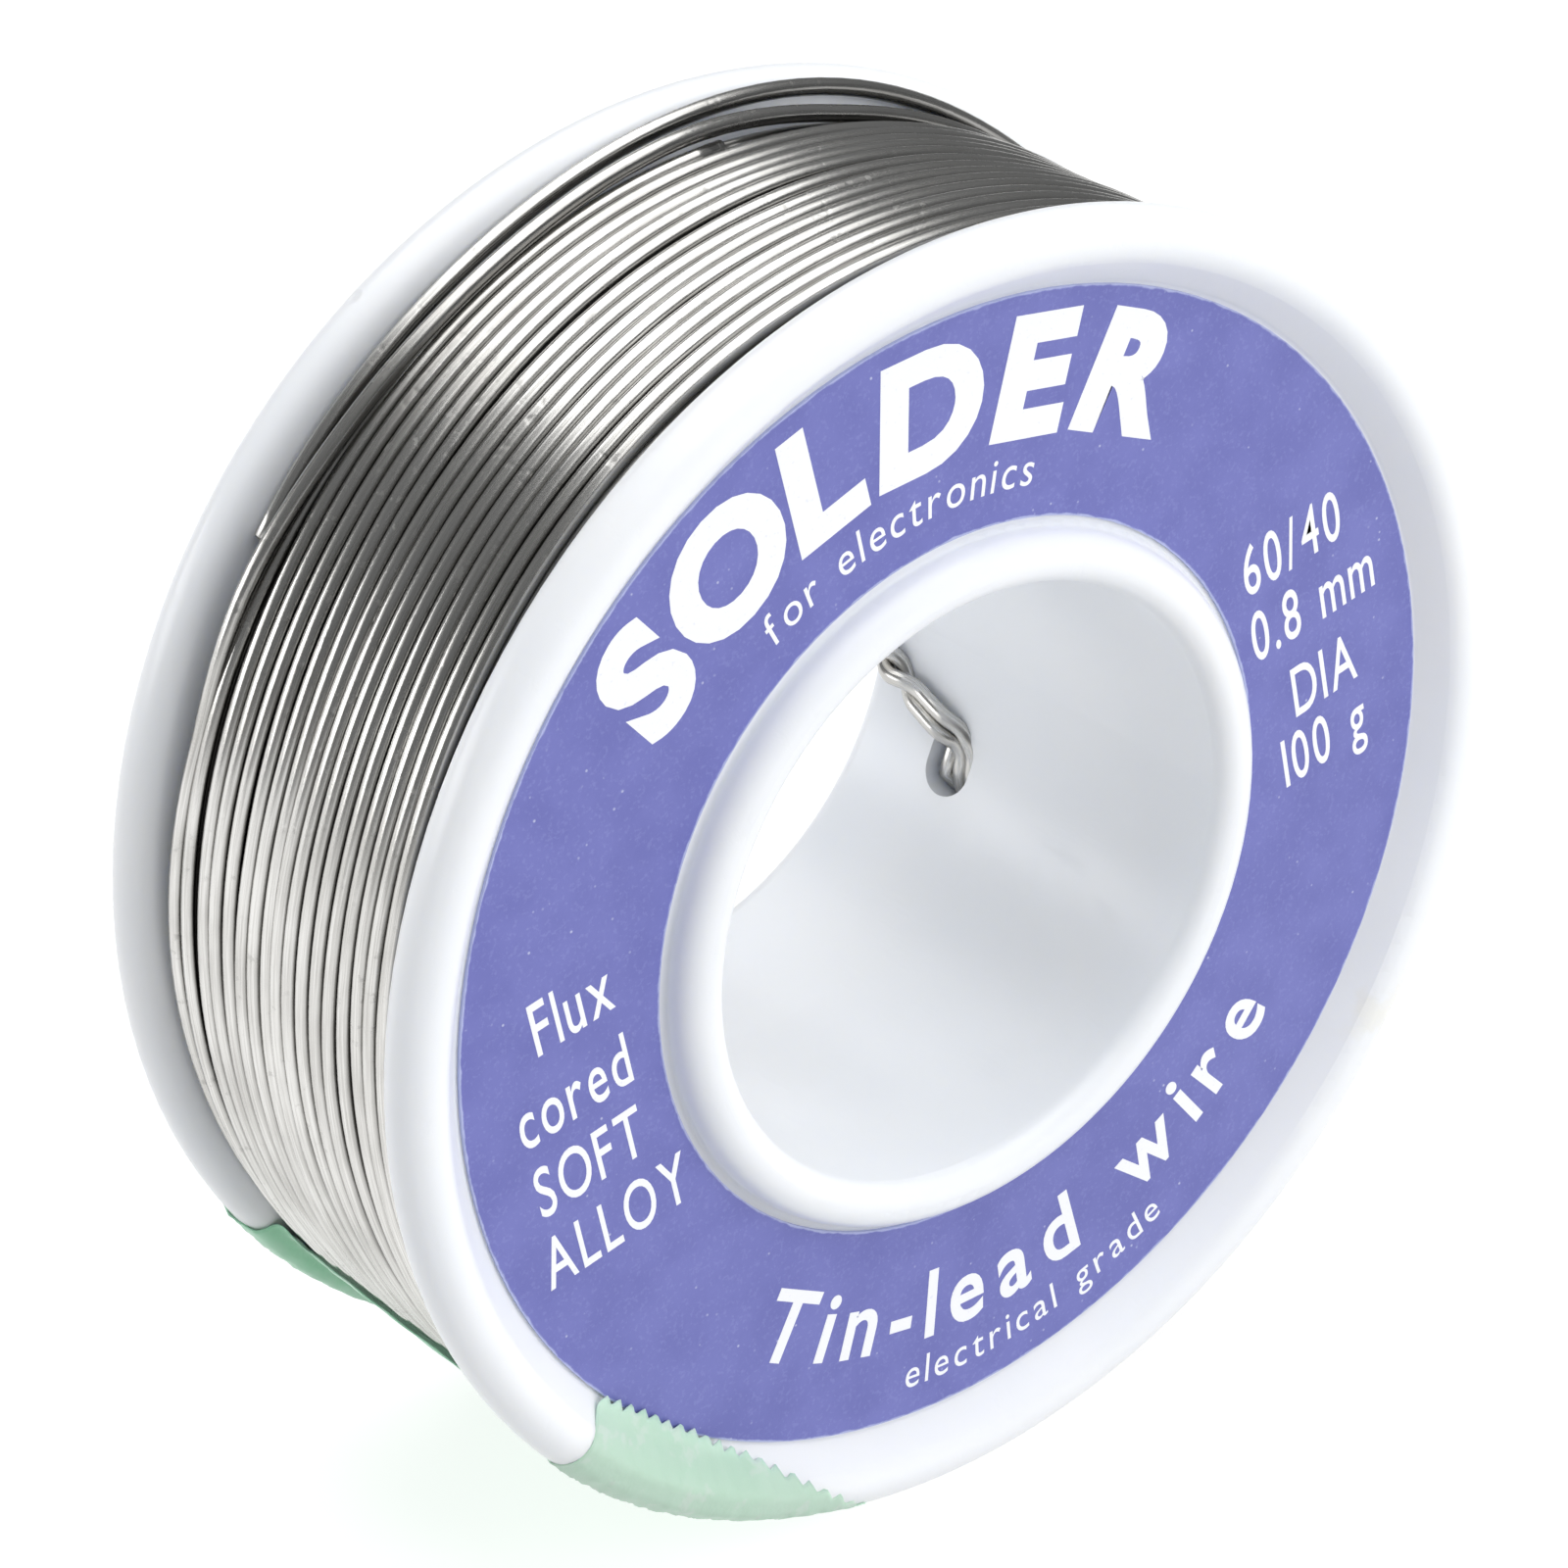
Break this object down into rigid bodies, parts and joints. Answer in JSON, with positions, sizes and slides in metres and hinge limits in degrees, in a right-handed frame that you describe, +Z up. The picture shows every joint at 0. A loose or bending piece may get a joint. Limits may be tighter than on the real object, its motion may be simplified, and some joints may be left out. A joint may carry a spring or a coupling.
{
  "type": "solder wire spool",
  "caption": "White plastic spool with bead-edged flanges and a ring label, wound with layers of flux-cored solder wire held down by a strip of tape, with a wire tail through the core.",
  "frame": {"origin": "on the spool's axis, midway between the two flange rims, inside the spindle bore", "axes": "+Y along the axis, away from the labelled face, so the label faces -Y; +Z up when the spool stands on its rims"},
  "size_m": [0.06, 0.0239, 0.06],
  "materials": {
    "spool_plastic": "white, semi-gloss, slightly translucent",
    "label_paper": "violet-blue printed paper label, satin",
    "solder": "bright drawn tin-lead wire, lightly dulled",
    "tape": "pale green tape, satin",
    "rosin_flux": "amber rosin"
  },
  "bodies": {
    "root": {"spool": "spool_plastic", "front_label": "label_paper", "wire_layer_01": "solder", "wire_layer_02": "solder", "wire_layer_03": "solder", "wire_layer_04": "solder", "wire_layer_05": "solder", "wire_layer_06": "solder", "wire_layer_07": "solder", "wire_layer_08": "solder", "wire_layer_09": "solder", "wire_layer_10": "solder", "wire_layer_11": "solder", "wire_layer_12": "solder", "wire_layer_13": "solder", "wire_layer_14": "solder", "wire_layer_15": "solder", "wire_layer_16": "solder", "wire_layer_17": "solder", "wire_outer_end": "solder", "wire_outer_end_flux_core": "rosin_flux", "wire_start_tail": "solder", "wire_start_tail_flux_core": "rosin_flux", "holding_tape": "tape"}
  },
  "joints": []
}
